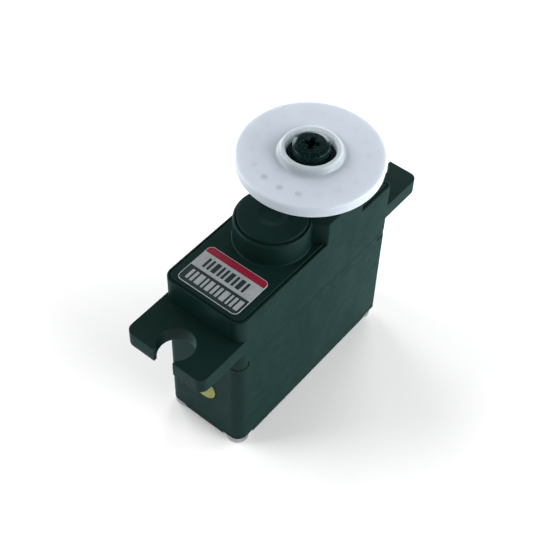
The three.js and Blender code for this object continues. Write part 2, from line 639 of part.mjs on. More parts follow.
function potBody() {
  const { radius, bottom, top, wall, floor, eye } = POT;
  return turned([
    [eye, top], [eye, top - wall], [radius - wall, top - wall], [radius - wall, bottom + floor],
    [eye, bottom + floor], [eye, bottom], [radius, bottom], [radius, top - 0.3],
    [radius - 0.3, top], [eye, top],
  ], 24);
}

// The wiper's shaft stands in the socket at the foot of the output shaft.
function potWiper() {
  const { bottom, thickness, reach, half, tip } = WIPER_ARM;
  return join([
    post(WIPER.shaft, WIPER.bottom, WIPER.top),
    box(WIPER.shaft / 2, reach, -half, half, bottom, bottom + thickness),
    box(reach - thickness, reach, -half, half, tip, bottom + thickness / 2),
  ]);
}

addPart(outputAxis, 'pot_body', potBody(), 'chip');
addPart(outputAxis, 'pot_wiper', potWiper(), 'steel');
for (let i = 0; i < 3; i += 1) {
  const { x, spacing, halfX, halfY } = TERMINAL;
  const leg = box(-halfX, halfX, -halfY, halfY, BOARD.top + SEAM_GAP, POT.bottom - SEAM_GAP);
  addPart(outputAxis, `pot_terminal_${i + 1}`, leg, 'steel').position.set(x, (i - 1) * spacing, 0);
}

// ---------------------------------------------------------------- electronics

function circuitBoard() {
  const { bottom, top, halfLength, halfWidth, cut: notch } = BOARD;
  const plate = box(-halfLength, halfLength, -halfWidth, halfWidth, bottom, top);
  return cut(plate, corners.map((corner) =>
    cornerBlock(corner, halfLength - notch, halfWidth - notch, bottom - OVERCUT, top + OVERCUT)));
}

const chip = (x0, x1, halfY) => box(x0, x1, -halfY, halfY, CHIP_BOTTOM, BOARD.bottom - SEAM_GAP);
const capacitor = postAt(CAPACITOR.x, 0, CAPACITOR.radius, BOARD.top + SEAM_GAP, CAPACITOR.top);

addPart(servo, 'circuit_board', circuitBoard(), 'board');
addPart(servo, 'controller_chip', chip(-3.2, 1.2, 2), 'chip');
addPart(servo, 'driver_chip', chip(4, 8.2, 1.6), 'chip');
addPart(servo, 'capacitor', capacitor, 'steel');
addPart(servo, 'resonator', chip(-9.5, -6.5, 1.2), 'amber');

export default servo;
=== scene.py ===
import math

import bmesh
import bpy
from mathutils import Matrix, Vector


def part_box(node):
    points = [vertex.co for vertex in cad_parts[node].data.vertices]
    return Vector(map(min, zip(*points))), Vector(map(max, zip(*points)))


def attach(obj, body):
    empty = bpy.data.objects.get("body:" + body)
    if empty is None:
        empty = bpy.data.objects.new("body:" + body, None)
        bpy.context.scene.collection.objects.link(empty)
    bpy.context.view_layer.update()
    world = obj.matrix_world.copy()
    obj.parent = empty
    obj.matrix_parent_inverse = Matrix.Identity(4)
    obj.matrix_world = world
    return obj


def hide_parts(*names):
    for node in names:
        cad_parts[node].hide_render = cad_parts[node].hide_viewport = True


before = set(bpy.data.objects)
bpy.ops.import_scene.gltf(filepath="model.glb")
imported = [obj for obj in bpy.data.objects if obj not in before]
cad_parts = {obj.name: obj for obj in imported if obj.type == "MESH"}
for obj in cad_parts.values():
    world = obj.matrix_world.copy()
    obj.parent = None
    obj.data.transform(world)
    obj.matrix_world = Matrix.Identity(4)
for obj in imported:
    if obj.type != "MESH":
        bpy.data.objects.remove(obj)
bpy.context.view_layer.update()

# Pieces are shaped in millimetres and scaled to metres when they are finished.
MM = 0.001


def node_box(node):
    """Lowest and highest corner of a CAD node, in millimetres."""
    low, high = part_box(node)
    return [v / MM for v in low], [v / MM for v in high]


# ---------------------------------------------------------------- sizes from the frame

COVER_LOW, COVER_HIGH = node_box("bottom_cover")
MIDDLE_LOW, MIDDLE_HIGH = node_box("middle_case")
TOP_HIGH = node_box("top_case")[1]
HORN_LOW, HORN_HIGH = node_box("disc_horn")
SCREW_LOW, SCREW_HIGH = node_box("horn_screw")
LABEL_LOW, LABEL_HIGH = node_box("label")
DOT_LOW, DOT_HIGH = node_box("inspection_sticker")
GLAND_LOW, GLAND_HIGH = node_box("cable_grommet")
BEARING_HIGH = node_box("output_bearing")[1]
MOTOR_LOW, MOTOR_HIGH = node_box("motor_can")
IDLER_LOW, IDLER_HIGH = node_box("idler_pin")

HALF_LENGTH = MIDDLE_HIGH[0]
HALF_WIDTH = MIDDLE_HIGH[1]
OUTPUT_X = (HORN_LOW[0] + HORN_HIGH[0]) / 2
HORN_RADIUS = HORN_HIGH[0] - OUTPUT_X
MOTOR_X = (MOTOR_LOW[0] + MOTOR_HIGH[0]) / 2
IDLER_X = (IDLER_LOW[0] + IDLER_HIGH[0]) / 2
SEAM = MIDDLE_HIGH[2]

# ---------------------------------------------------------------- sizes that a node's box doesn't give

PAST = 1.0  # how far a cutting tool goes past the surface it cuts
HAIR = 0.001  # the same, for a tool that flares where it meets the surface
FAR = 30.0  # further out than any part of the servo
FIT = 0.02  # a step or gap too small to see, which keeps two faces out of one plane

# Names that end in edge, corner, foot or flare are radii.
CORNER = {"label_end": 1.5, "output_end": 0.5, "inside": 1.0}
WALL = 0.8
SEAM_EDGE = 0.12
GEAR_PLATE = SEAM - 1.18
SHELL_FOOT_EDGE = 0.06
MOTOR_HOLE = 2.0
BUSHING_HOLE = 2.25
PIN_HOLE = {"radius": 0.52, "idler_low": 28.0, "idler_top": 29.2, "upper_top": 25.7}

EAR = {"bottom": 19.8, "top": 22.15, "corner": 1.1, "edge": 0.09, "slot_x": 19.2, "slot": 2.35,
       "slot_steps": 56, "mouth": 1.5, "flare": 0.1}
DECK = {"underside": 25.0, "groove": 25.78, "rim": 25.9, "rim_inset": 0.27, "rim_edge": 0.1, "inset": 0.45,
        "top": 26.0, "edge": 0.09}
TOWER = {"near": 1.6, "near_corner": 0.25, "far": 8.92, "far_corner": 0.5, "neck": 0.5, "neck_half": 4.2,
         "neck_corner": 0.3, "top": 29.4, "edge": 0.22}
BOSS = {"radius": 4.83, "foot": 0.2, "shoulder": 29.45, "shoulder_edge": 0.3, "cap": 4.35, "edge": 0.1,
        "hollow": 3.3, "hollow_top": 28.6}
BOSS_GROOVE = {"depth": 0.16, "mouth": 0.13, "floor": 0.11, "mouth_edge": 0.05, "floor_edge": 0.03}
# The corners of the dish in the boss's top: radius, depth and edge radius.
BOSS_DISH = ((1.9, 0.0, 0.8), (1.1, 0.18, 0.6), (0, 0.24, 0))

NOTCH = {"x": 13.1, "y": 4.3, "floor": 16.5, "gap": 0.12, "recess": 0.05, "root": 0.3}
COVER = {"low_edge": 0.1, "high_edge": 0.06}
EJECTOR = {"x": 8.5, "y": 3.4, "radius": 1.1, "depth": 0.06}
PANEL = {"half_x": 9.5, "half_y": 1.6, "corner": 0.5, "depth": 0.15, "flare": 0.05}
CASE_SCREW = {"x": 13.42, "y": 4.5, "hole": 0.7, "hole_top": 19.8, "post": 1.75, "pocket": 1.95,
              "pocket_depth": 0.42, "head": 1.47, "dome": 0.2, "dome_edge": 0.15, "seat_edge": 0.05,
              "shank": 0.55, "shank_top": 18.7, "shank_edge": 0.1, "tip": 19.5, "turn": 37}
CASE_RECESS = {"reach": 0.8, "half": 0.19, "depth": 0.42, "past": 0.05, "taper": 0.55}

HORN = {"socket": 2.7, "socket_edge": 0.05, "mouth_edge": 0.08, "collar": 3.6, "collar_edge": 0.12,
        "collar_foot": 0.3, "disc_bottom": 33.4, "low_edge": 0.12, "disc_top": 34.9, "high_edge": 0.24,
        "hub": 3.7, "hub_slope": 0.22, "hub_foot": 0.45, "hub_edge": 0.3, "socket_rise": 0.1}
HORN_RECESS = {"radius": 3.05, "lip": 0.14, "lip_edge": 0.06, "taper": 0.03, "taper_depth": 0.6,
               "taper_edge": 0.1, "floor": 34.3, "floor_edge": 0.06, "hole": 0.9, "hole_edge": 0.03}
PILOT = {"count": 18, "radius": 0.45, "circle": 6.9, "depth": 1.1, "phase": 6.0, "sink": 0.03,
         "sink_edge": 0.4, "above": 0.2}
CENTRE_SCREW = {"shank": 0.7, "tip": 0.4, "gap": 0.05, "flange_gap": 0.1, "flange": 0.42,
                "flange_low_edge": 0.06, "flange_edge": 0.1, "flange_slope": 0.04, "neck": 2.36, "edge": 0.12,
                "shoulder": 2.27, "shoulder_drop": 0.26, "dome": 1.8, "dome_drop": 0.06, "dome_edge": 0.25,
                "turn": 24}
CENTRE_RECESS = {"reach": 1.12, "half": 0.32, "depth": 1.0, "past": 0.05, "taper": 0.5}
RECESS_CORNER = 0.3  # of half an arm's width

LABEL = {"corner": 0.7, "border": 0.1, "edge": 0.03, "dark_width": 2.5, "red_width": 1.0,
         "inner_corner": 0.02}
LABEL_INK = {"sunk": 0.02, "lap": 0.01, "thick": 0.008, "bar_lap": 0.005, "bar_thick": 0.014,
             "bar_corner": 0.06}
# Rows of plain bars that stand in for the print: their widths, and where the row starts and ends.
PALE_BARS = {"widths": (0.38, 0.38, 0.75, 0.3, 0.62, 0.38, 0.38, 0.75, 0.3, 0.38, 0.62), "gap": 0.27,
             "start": 3.75, "low_margin": 0.5, "high_margin": 0.42}
DARK_BARS = {"widths": (0.34, 0.34, 0.62, 0.34, 0.34, 0.62, 0.34, 0.62, 0.34), "gap": 0.3,
             "start": 3.3, "low_margin": 0.5, "high_margin": 0.5}
DOT_EDGE = 0.02
GLAND = {"lap_y": 0.25, "lap_z": 0.3, "shrink": 0.33, "core_corner": 0.3, "core_edge": 0.2, "corner": 0.4,
         "slack": 0.1, "inner_edge": 0.1, "flange": 0.5, "flange_edge": 0.15, "wire": 0.5, "pitch": 1.35,
         "wire_reach": 5.0}

EDGE_STEPS = 4
LEAST_RADIUS = 0.02
SMOOTH_ANGLE = math.radians(32)
NORMAL_WEIGHT = 80
WELD = {"shaping": 1e-5, "finished": 2e-7}  # millimetres, then metres

# ---------------------------------------------------------------- camera, made first

VIEW = {"azimuth": -52.234, "elevation": 50.256, "roll": 1.967, "distance": 0.12454, "lens": 77.45,
        "sensor": 36, "clip_start": 0.005}
VIEW_CENTRE = Vector((-0.01248, -0.00821, 0.03582))


def make_camera():
    """A camera that looks at VIEW_CENTRE as the photograph's does."""
    azimuth, elevation, roll = (math.radians(VIEW[k]) for k in ("azimuth", "elevation", "roll"))
    back = Vector((
        math.sin(azimuth) * math.cos(elevation),
        -math.cos(azimuth) * math.cos(elevation),
        math.sin(elevation),
    ))
    level = Vector((math.cos(azimuth), math.sin(azimuth), 0))
    upright = back.cross(level)
    right = math.cos(roll) * level + math.sin(roll) * upright
    up = math.cos(roll) * upright - math.sin(roll) * level
    data = bpy.data.cameras.new("view")
    data.lens = VIEW["lens"]
    data.sensor_width = VIEW["sensor"]
    data.clip_start = VIEW["clip_start"]
    camera = bpy.data.objects.new("view", data)
    turn = Matrix((right, up, back)).transposed().to_4x4()
    camera.matrix_world = Matrix.Translation(VIEW_CENTRE + VIEW["distance"] * back) @ turn
    bpy.context.scene.collection.objects.link(camera)
    bpy.context.scene.camera = camera


make_camera()

# ---------------------------------------------------------------- outlines


def rounded(corners, inset=0.0, steps=7, closed=True):
    """Points of an anticlockwise outline whose (x, y, radius) corners are rounded, moved inwards by inset."""
    count = len(corners)
    points = []
    for i, (x, y, radius) in enumerate(corners):
        here = Vector((x, y))
        if not closed and i in (0, count - 1):
            points.append(here)
            continue
        before = (here - Vector(corners[i - 1][:2])).normalized()
        after = (Vector(corners[(i + 1) % count][:2]) - here).normalized()
        normal_in = Vector((-before.y, before.x))
        normal_out = Vector((-after.y, after.x))
        here += inset * (normal_in + normal_out) / (1 + normal_in.dot(normal_out))
        if radius == 0:
            points.append(here)
            continue
        side = 1 if before.cross(after) > 0 else -1
        turn = math.acos(max(-1.0, min(1.0, before.dot(after))))
        radius = max(radius - side * inset, LEAST_RADIUS)
        start = here - before * radius * math.tan(turn / 2)
        centre = start + side * normal_in * radius
        for k in range(steps + 1):
            spoke = Matrix.Rotation(side * turn * k / steps, 2) @ (start - centre)
            points.append(centre + spoke)
    return points


def outline_of(corners):
    """An outline maker for any corners: it gives their rounded outline, moved inwards by inset."""
    return lambda inset=0.0: rounded(corners, inset)


def rectangle(half_x, half_y, radius, low_radius=None):
    """An outline maker for a rounded rectangle centred on the origin. low_radius is for its corners at -X."""
    low_radius = low_radius or radius
    corners = [(half_x, -half_y, radius), (half_x, half_y, radius),
               (-half_x, half_y, low_radius), (-half_x, -half_y, low_radius)]
    return outline_of(corners)


def circle(radius, steps=48, x=0.0, y=0.0):
    """An outline maker for a circle."""
    def outline(inset=0.0):
        angles = [2 * math.pi * i / steps for i in range(steps)]
        reach = radius - inset
        return [Vector((x + reach * math.cos(angle), y + reach * math.sin(angle))) for angle in angles]
    return outline


case_outline = rectangle(HALF_LENGTH, HALF_WIDTH, CORNER["output_end"], CORNER["label_end"])

# ---------------------------------------------------------------- solids, in millimetres


def mesh_object(name, vertices, faces):
    """An object with that mesh, its doubled points merged and its faces turned outwards."""
    mesh = bpy.data.meshes.new(name)
    mesh.from_pydata(vertices, [], faces)
    work = bmesh.new()
    work.from_mesh(mesh)
    bmesh.ops.remove_doubles(work, verts=work.verts, dist=WELD["shaping"])
    bmesh.ops.recalc_face_normals(work, faces=work.faces)
    work.to_mesh(mesh)
    work.free()
    piece = bpy.data.objects.new(name, mesh)
    bpy.context.scene.collection.objects.link(piece)
    return piece


def loft(sections):
    """A closed solid through outlines of equal length, each a list of 3-D points."""
    count = len(sections[0])
    vertices = [point for section in sections for point in section]
    faces = [list(range(count))[::-1], [len(vertices) - count + i for i in range(count)]]
    for level in range(len(sections) - 1):
        base = level * count
        for i in range(count):
            j = (i + 1) % count
            faces.append([base + i, base + j, base + count + j, base + count + i])
    return mesh_object("loft", vertices, faces)


def slab(outline, bottom, top, low=0.0, high=0.0):
    """An outline raised from bottom to top. low and high are the radii of its edges: negative ones flare."""
    levels = []
    for k in range(EDGE_STEPS + 1 if low else 1):
        angle = math.pi / 2 * k / EDGE_STEPS
        levels.append((low * (1 - math.sin(angle)), bottom + abs(low) * (1 - math.cos(angle))))
    for k in range(EDGE_STEPS + 1 if high else 1):
        angle = math.pi / 2 * (1 - k / EDGE_STEPS)
        levels.append((high * (1 - math.sin(angle)), top - abs(high) * (1 - math.cos(angle))))
    if not low:
        levels[0] = (0.0, bottom)
    if not high:
        levels[-1] = (0.0, top)
    return loft([[(p.x, p.y, z) for p in outline(inset)] for inset, z in levels])


def turned(profile, steps=96, x=0.0, y=0.0, closed=False):
    """A solid of revolution about an upright axis, from (radius, height, edge radius) corners."""
    points = rounded(profile, steps=5, closed=closed)
    vertices = []
    rings = []
    for point in points:
        if abs(point.x) < 1e-6:
            rings.append([len(vertices)] * steps)
            vertices.append((x, y, point.y))
            continue
        rings.append(list(range(len(vertices), len(vertices) + steps)))
        for i in range(steps):
            angle = 2 * math.pi * i / steps
            vertices.append((x + point.x * math.cos(angle), y + point.x * math.sin(angle), point.y))
    faces = []
    for k in range(len(rings) if closed else len(rings) - 1):
        lower, upper = rings[k], rings[(k + 1) % len(rings)]
        for i in range(steps):
            j = (i + 1) % steps
            face = []
            for corner in (lower[i], lower[j], upper[j], upper[i]):
                if corner not in face:
                    face.append(corner)
            if len(face) > 2:
                faces.append(face)
    return mesh_object("turned", vertices, faces)


def box(x0, x1, y0, y1, z0, z1):
    """An upright block, for cutting with."""
    outline = [Vector((x0, y0)), Vector((x1, y0)), Vector((x1, y1)), Vector((x0, y1))]
    return loft([[(p.x, p.y, z) for p in outline] for z in (z0, z1)])


def moved(piece, matrix):
    piece.data.transform(matrix)
    return piece


def turn_z(degrees):
    return Matrix.Rotation(math.radians(degrees), 4, "Z")


def gather(pieces):
    """Several separate solids as one mesh."""
    work = bmesh.new()
    for piece in pieces:
        work.from_mesh(piece.data)
        bpy.data.objects.remove(piece)
    mesh = bpy.data.meshes.new("gathered")
    work.to_mesh(mesh)
    work.free()
    whole = bpy.data.objects.new("gathered", mesh)
    bpy.context.scene.collection.objects.link(whole)
    return whole


def boolean(piece, tool, operation):
    """Joins tool to piece or cuts it from piece, and uses tool up."""
    modifier = piece.modifiers.new("boolean", "BOOLEAN")
    modifier.operation = operation
    modifier.solver = "EXACT"
    modifier.use_self = operation == "DIFFERENCE"
    modifier.object = tool
    graph = bpy.context.evaluated_depsgraph_get()
    piece_now = piece.evaluated_get(graph)
    mesh = bpy.data.meshes.new_from_object(piece_now, depsgraph=graph)
    piece.modifiers.clear()
    piece.data = mesh
    bpy.data.objects.remove(tool)
    return piece


def join(pieces):
    """Overlapping solids as one solid."""
    whole = pieces[0]
    for piece in pieces[1:]:
        whole = boolean(whole, piece, "UNION")
    return whole


def cut(piece, tools):
    """A piece less several separate solids."""
    return boolean(piece, gather(tools), "DIFFERENCE")


def finish_piece(piece, name, body, slot, material, *nodes):
    """Names a piece, scales it to metres, shades it and ties it to the frame."""
    piece.name = name
    piece.data.name = name
    piece.data.transform(Matrix.Scale(MM, 4))
    work = bmesh.new()
    work.from_mesh(piece.data)
    bmesh.ops.remove_doubles(work, verts=work.verts, dist=WELD["finished"])
    bmesh.ops.dissolve_degenerate(work, dist=WELD["finished"], edges=work.edges)
    work.to_mesh(piece.data)
    work.free()
    piece.data.materials.clear()
    piece.data.materials.append(material)
    piece.data.shade_smooth()
    piece.data.set_sharp_from_angle(angle=SMOOTH_ANGLE)
    weighted = piece.modifiers.new("weighted normals", "WEIGHTED_NORMAL")
    weighted.keep_sharp = True
    weighted.weight = NORMAL_WEIGHT
    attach(piece, body)
    if nodes:
        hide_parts(*nodes)
    return piece


# ---------------------------------------------------------------- materials


def add_node(material, kind, inputs=None, **settings):
    """A new node. inputs are values or sockets to link, by socket name or number."""
    tree = material.node_tree
    made = tree.nodes.new(kind)
    for key, value in settings.items():
        setattr(made, key, value)
    for socket, value in (inputs or {}).items():
        if isinstance(value, bpy.types.NodeSocket):
            tree.links.new(value, made.inputs[socket])
        else:
            made.inputs[socket].default_value = value
    return made


def calculate(material, operation, *values):
    return add_node(material, "ShaderNodeMath", dict(enumerate(values)), operation=operation).outputs[0]


def calculate_vector(material, operation, *values):
    return add_node(material, "ShaderNodeVectorMath", dict(enumerate(values)), operation=operation)


def place_on(material):
    """Each point's place in the piece's own coordinates, in metres."""
    return add_node(material, "ShaderNodeTexCoord").outputs["Object"]


def noise(material, scale, detail, stretch=(1, 1, 1), roughness=0.5):
    """Noise from 0 to 1 in the piece's own coordinates, about 1/scale metres from one lump to the next."""
    mapping = {"Vector": place_on(material), "Scale": stretch}
    stretched = add_node(material, "ShaderNodeMapping", mapping).outputs[0]
    settings = {"Vector": stretched, "Scale": scale, "Detail": detail, "Roughness": roughness}
    return add_node(material, "ShaderNodeTexNoise", settings).outputs["Fac"]


def spread(material, value, low, high, start=0.3, end=0.7):
    """Maps a value from start..end to low..high."""
    settings = {"Value": value, "From Min": start, "From Max": end, "To Min": low, "To Max": high}
    return add_node(material, "ShaderNodeMapRange", settings).outputs["Result"]


def blend_colours(material, factor, first, second):
    """Mixes two colours. Each is a colour or a colour socket."""
    made = add_node(material, "ShaderNodeMix", data_type="RGBA")
    for socket, value in ((made.inputs[0], factor), (made.inputs[6], first), (made.inputs[7], second)):
        if isinstance(value, bpy.types.NodeSocket):
            material.node_tree.links.new(value, socket)
        elif isinstance(value, tuple):
            socket.default_value = (*value, 1)
        else:
            socket.default_value = value
    return made.outputs[2]


def bump(material, height, depth, strength=1.0):
    """A bump of that depth in metres."""
    settings = {"Height": height, "Distance": depth, "Strength": strength}
    return add_node(material, "ShaderNodeBump", settings).outputs["Normal"]


def new_material(name, metallic=0.0, **sockets):
    """A material and its shader. sockets are values that are the same all over the surface."""
    material = bpy.data.materials.new(name)
    material.use_nodes = True
    shader = material.node_tree.nodes["Principled BSDF"]
    shader.inputs["Metallic"].default_value = metallic
    for socket, value in sockets.items():
        shader.inputs[socket.replace("_", " ")].default_value = value
    return material, shader


def wire(material, shader, **sockets):
    """Links sockets to the shader, by the shader's socket names with _ for a space."""
    for socket, value in sockets.items():
        material.node_tree.links.new(value, shader.inputs[socket.replace("_", " ")])


def moulded_plastic(name, dark, light, roughness, grain=0.000004):
    """Injection-moulded plastic: a spark-eroded grain, and slow colour and gloss changes along its flow."""
    material, shader = new_material(
        name, IOR=1.17, Coat_Weight=1.0, Coat_IOR=1.01, Coat_Tint=(0.79, 0.925, 0.93, 1))
    flow = noise(material, scale=160, detail=3, stretch=(1, 1, 0.35))
    cloud = noise(material, scale=900, detail=4)
    colour = blend_colours(material, spread(material, flow, 0, 1), dark, light)
    patches = noise(material, scale=110, detail=5, stretch=(1, 1, 0.5), roughness=0.6)
    patches = spread(material, patches, 0.06, -0.06, 0.35, 0.65)
    gloss = calculate(material, "ADD", spread(material, cloud, roughness - 0.04, roughness + 0.04), patches)
    grained = bump(material, noise(material, scale=11000, detail=3), depth=grain, strength=0.6)
    wire(material, shader, Base_Color=colour, Roughness=gloss, Normal=grained)
    return material


def machined_metal(name, dark, light, roughness, pitch=2600, depth=0.0000012):
    """Turned or drawn metal: fine rings across the axis, and faint stains."""
    material, shader = new_material(name, metallic=1.0)
    rings = noise(material, scale=pitch, detail=2, stretch=(0.04, 0.04, 1))
    stain = noise(material, scale=500, detail=4)
    colour = blend_colours(material, spread(material, stain, 0, 1), dark, light)
    gloss = spread(material, rings, roughness - 0.06, roughness + 0.08)
    wire(material, shader, Base_Color=colour, Roughness=gloss, Normal=bump(material, rings, depth=depth))
    return material


# A pilot spot's painted shade is full within the first share of its radius, and gone past the second.
SPOT_BLUR = (0.45, 1.25)
# dark and light are the nylon's own cloudy tone; pilot is painted shade over the blind pilot holes.
NYLON_SHADES = {"dark": (0.466, 0.515, 0.576), "light": (0.488, 0.536, 0.597), "pilot": (0.31, 0.36, 0.40)}
# The painted shade over the pilot holes shows well at the label end only: X from the axis in millimetres, and
# how well it shows.
PAINTED_PILOT_SHADE = {"label_end": -6.3, "well": 0.75, "middle": -5.5, "faintly": 0.12}
# Painted shade and light on the horn: the rim's edge and side and the hub's slope darker, the screw's recess
# lighter. Each is full at the first distance from the axis and gone at the second.
PAINTED_HORN_SHADING = (
    # painted shade on the rim's edge and side
    (HORN_RADIUS - 0.05, HORN_RADIUS - 0.25, (0.44, 0.49, 0.545)),
    # painted shade over the hub and its slope, where the dark screw lies under the nylon
    (3.9, 4.8, (0.365, 0.412, 0.447)),
    # painted light in the screw's recess, lifting the shade there
    (3.13, 3.23, (0.64, 0.69, 0.74)),
)


def axis_place(material):
    """Each point's X, Y and distance from the output axis in metres, in the piece's own coordinates."""
    offset = calculate_vector(material, "SUBTRACT", place_on(material), (OUTPUT_X * MM, 0, 0)).outputs[0]
    flat = calculate_vector(material, "MULTIPLY", offset, (1, 1, 0)).outputs[0]
    distance = calculate_vector(material, "LENGTH", flat).outputs["Value"]
    split = add_node(material, "ShaderNodeSeparateXYZ", {0: flat})
    return split.outputs[0], split.outputs[1], distance


def polar_spots(material, count, phase, circle_radius, spot_radius):
    """1 inside each of a ring of blurred round spots about the output axis, 0 outside."""
    x, y, radius = axis_place(material)
    angle = calculate(material, "ARCTAN2", y, x)
    # The half makes what is left after FRACT run from one spot's edge to the other.
    first_edge = count - count * phase / 360 + 0.5
    turns = calculate(material, "MULTIPLY_ADD", angle, count / (2 * math.pi), first_edge)
    nearest = calculate(material, "SUBTRACT", calculate(material, "FRACT", turns), 0.5)
    along = calculate(material, "MULTIPLY", nearest, 2 * math.pi * circle_radius / count)
    across = calculate(material, "SUBTRACT", radius, circle_radius)
    squares = [calculate(material, "MULTIPLY", side, side) for side in (along, across)]
    distance = calculate(material, "SQRT", calculate(material, "ADD", *squares))
    return spread(material, distance, 1, 0, *(spot_radius * share for share in SPOT_BLUR))


def nylon():
    """Natural nylon: milky and slightly translucent, with the pilot holes showing faintly through the top as
    painted shade, and painted shade and light on the rim, hub and recess.
    """
    material, shader = new_material("white_nylon", IOR=1.4, Subsurface_Weight=0.6, Subsurface_Scale=0.0015,
                                    Subsurface_Radius=(1.0, 1.0, 1.0))
    cloud = spread(material, noise(material, scale=350, detail=3), 0, 1)
    colour = blend_colours(material, cloud, NYLON_SHADES["dark"], NYLON_SHADES["light"])
    # Painted shade over the blind pilot holes, where the nylon over them is thin.
    spots = polar_spots(material, PILOT["count"], PILOT["phase"], PILOT["circle"] * MM, PILOT["radius"] * MM)
    x, _, radius = axis_place(material)
    shown = spread(material, x, PAINTED_PILOT_SHADE["well"], PAINTED_PILOT_SHADE["faintly"],
                   PAINTED_PILOT_SHADE["label_end"] * MM, PAINTED_PILOT_SHADE["middle"] * MM)
    painted_pilot_shade = calculate(material, "MULTIPLY", spots, shown)
    colour = blend_colours(material, painted_pilot_shade, colour, NYLON_SHADES["pilot"])
    # Lays each zone's painted shade or light over the colour.
    for full, gone, shade in PAINTED_HORN_SHADING:
        colour = blend_colours(material, spread(material, radius, 1, 0, full * MM, gone * MM), colour, shade)
    gloss = spread(material, noise(material, scale=1300, detail=3), 0.3, 0.42)
    grained = bump(material, noise(material, scale=6000, detail=3), depth=0.000003, strength=0.6)
    wire(material, shader, Base_Color=colour, Roughness=gloss, Normal=grained)
    return material


def black_oxide():
    """Black-oxide steel with small glints where the coating is thin."""
    material, shader = new_material("black_steel", IOR=1.36, Specular_Tint=(0.2, 0.7, 0.72, 1))
    coated, glint = (0.0015, 0.0055, 0.0052), (0.03, 0.055, 0.055)
    fine = noise(material, scale=5200, detail=4)
    colour = blend_colours(material, spread(material, fine, 0, 1, 0.56, 0.78), coated, glint)
    gloss = spread(material, noise(material, scale=2400, detail=3), 0.15, 0.26)
    grained = bump(material, fine, depth=0.000003, strength=0.7)
    wire(material, shader, Base_Color=colour, Roughness=gloss, Normal=grained)
    return material


def foil(name, dark, light, metallic, roughness):
    """Printed or bare label foil with a faint roller grain."""
    material, shader = new_material(name, metallic=metallic, IOR=1.3, Coat_Weight=0.08, Coat_Roughness=0.15)
    grain = noise(material, scale=7000, detail=3, stretch=(0.2, 1, 1))
    colour = blend_colours(material, spread(material, grain, 0, 1), dark, light)
    gloss = spread(material, noise(material, scale=1500, detail=2), roughness - 0.05, roughness + 0.05)
    wire(material, shader, Base_Color=colour, Roughness=gloss, Normal=bump(material, grain, depth=0.0000015))
    return material


def paper(name, dark, light):
    """Matt coated paper with fibres."""
    material, shader = new_material(name)
    fibre = noise(material, scale=5000, detail=4, stretch=(1, 1, 0.3))
    cloud = noise(material, scale=1100, detail=3)
    colour = blend_colours(material, spread(material, cloud, 0, 1), dark, light)
    gloss = spread(material, fibre, 0.5, 0.65)
    wire(material, shader, Base_Color=colour, Roughness=gloss, Normal=bump(material, fibre, depth=0.000008))
    return material


def rubber():
    """Matt black rubber with bloom."""
    material, shader = new_material("black_rubber")
    clean, bloomed = (0.012, 0.013, 0.013), (0.028, 0.03, 0.03)
    bloom = noise(material, scale=1400, detail=4)
    colour = blend_colours(material, spread(material, bloom, 0, 1), clean, bloomed)
    gloss = spread(material, bloom, 0.7, 0.85)
    grained = bump(material, noise(material, scale=8000, detail=2), depth=0.000008)
    wire(material, shader, Base_Color=colour, Roughness=gloss, Normal=grained)
    return material


def enamelled_wire():
    """Copper wire laid turn on turn, each turn 0.18 mm from the next, with painted shade in the grooves
    between turns.
    """
    material, shader = new_material("copper_wire", metallic=1.0, Coat_Weight=0.5)
    painted_groove_shade, crown = (0.22, 0.075, 0.035), (0.72, 0.33, 0.17)
    turns = add_node(material, "ShaderNodeTexWave", {
        "Vector": place_on(material), "Scale": 1750.0, "Distortion": 0.4,
        "Detail": 1.0, "Detail Scale": 300.0,
    }, bands_direction="Z").outputs["Fac"]
    # The darker colour in the grooves between turns is painted shade.
    colour = blend_colours(material, turns, painted_groove_shade, crown)
    gloss = spread(material, noise(material, scale=2000, detail=2), 0.22, 0.36)
    wire(material, shader, Base_Color=colour, Roughness=gloss, Normal=bump(material, turns, depth=0.00004))
    return material


def circuit_board_green():
    """Green solder mask over glass weave and copper tracks."""
    material, shader = new_material("green_board", IOR=1.5)
    mask_dark, mask_light, track = (0.012, 0.10, 0.035), (0.02, 0.14, 0.05), (0.05, 0.24, 0.09)
    place = place_on(material)
    weave = add_node(material, "ShaderNodeTexChecker", {"Vector": place, "Scale": 2600.0}).outputs["Fac"]
    cells = add_node(material, "ShaderNodeTexBrick", {
        "Vector": place, "Scale": 420.0, "Mortar Size": 0.012, "Color1": (1, 1, 1, 1), "Color2": (1, 1, 1, 1),
        "Mortar": (0, 0, 0, 1),
    }).outputs["Color"]
    cloud = noise(material, scale=900, detail=2)
    mask = blend_colours(material, spread(material, cloud, 0, 1), mask_dark, mask_light)
    colour = blend_colours(material, cells, track, mask)
    weave_share = 0.15
    height = calculate(material, "MULTIPLY_ADD", weave, weave_share, cells)
    gloss = spread(material, noise(material, scale=1800, detail=2), 0.28, 0.4)
    grained = bump(material, height, depth=0.00002, strength=0.5)
    wire(material, shader, Base_Color=colour, Roughness=gloss, Normal=grained)
    return material


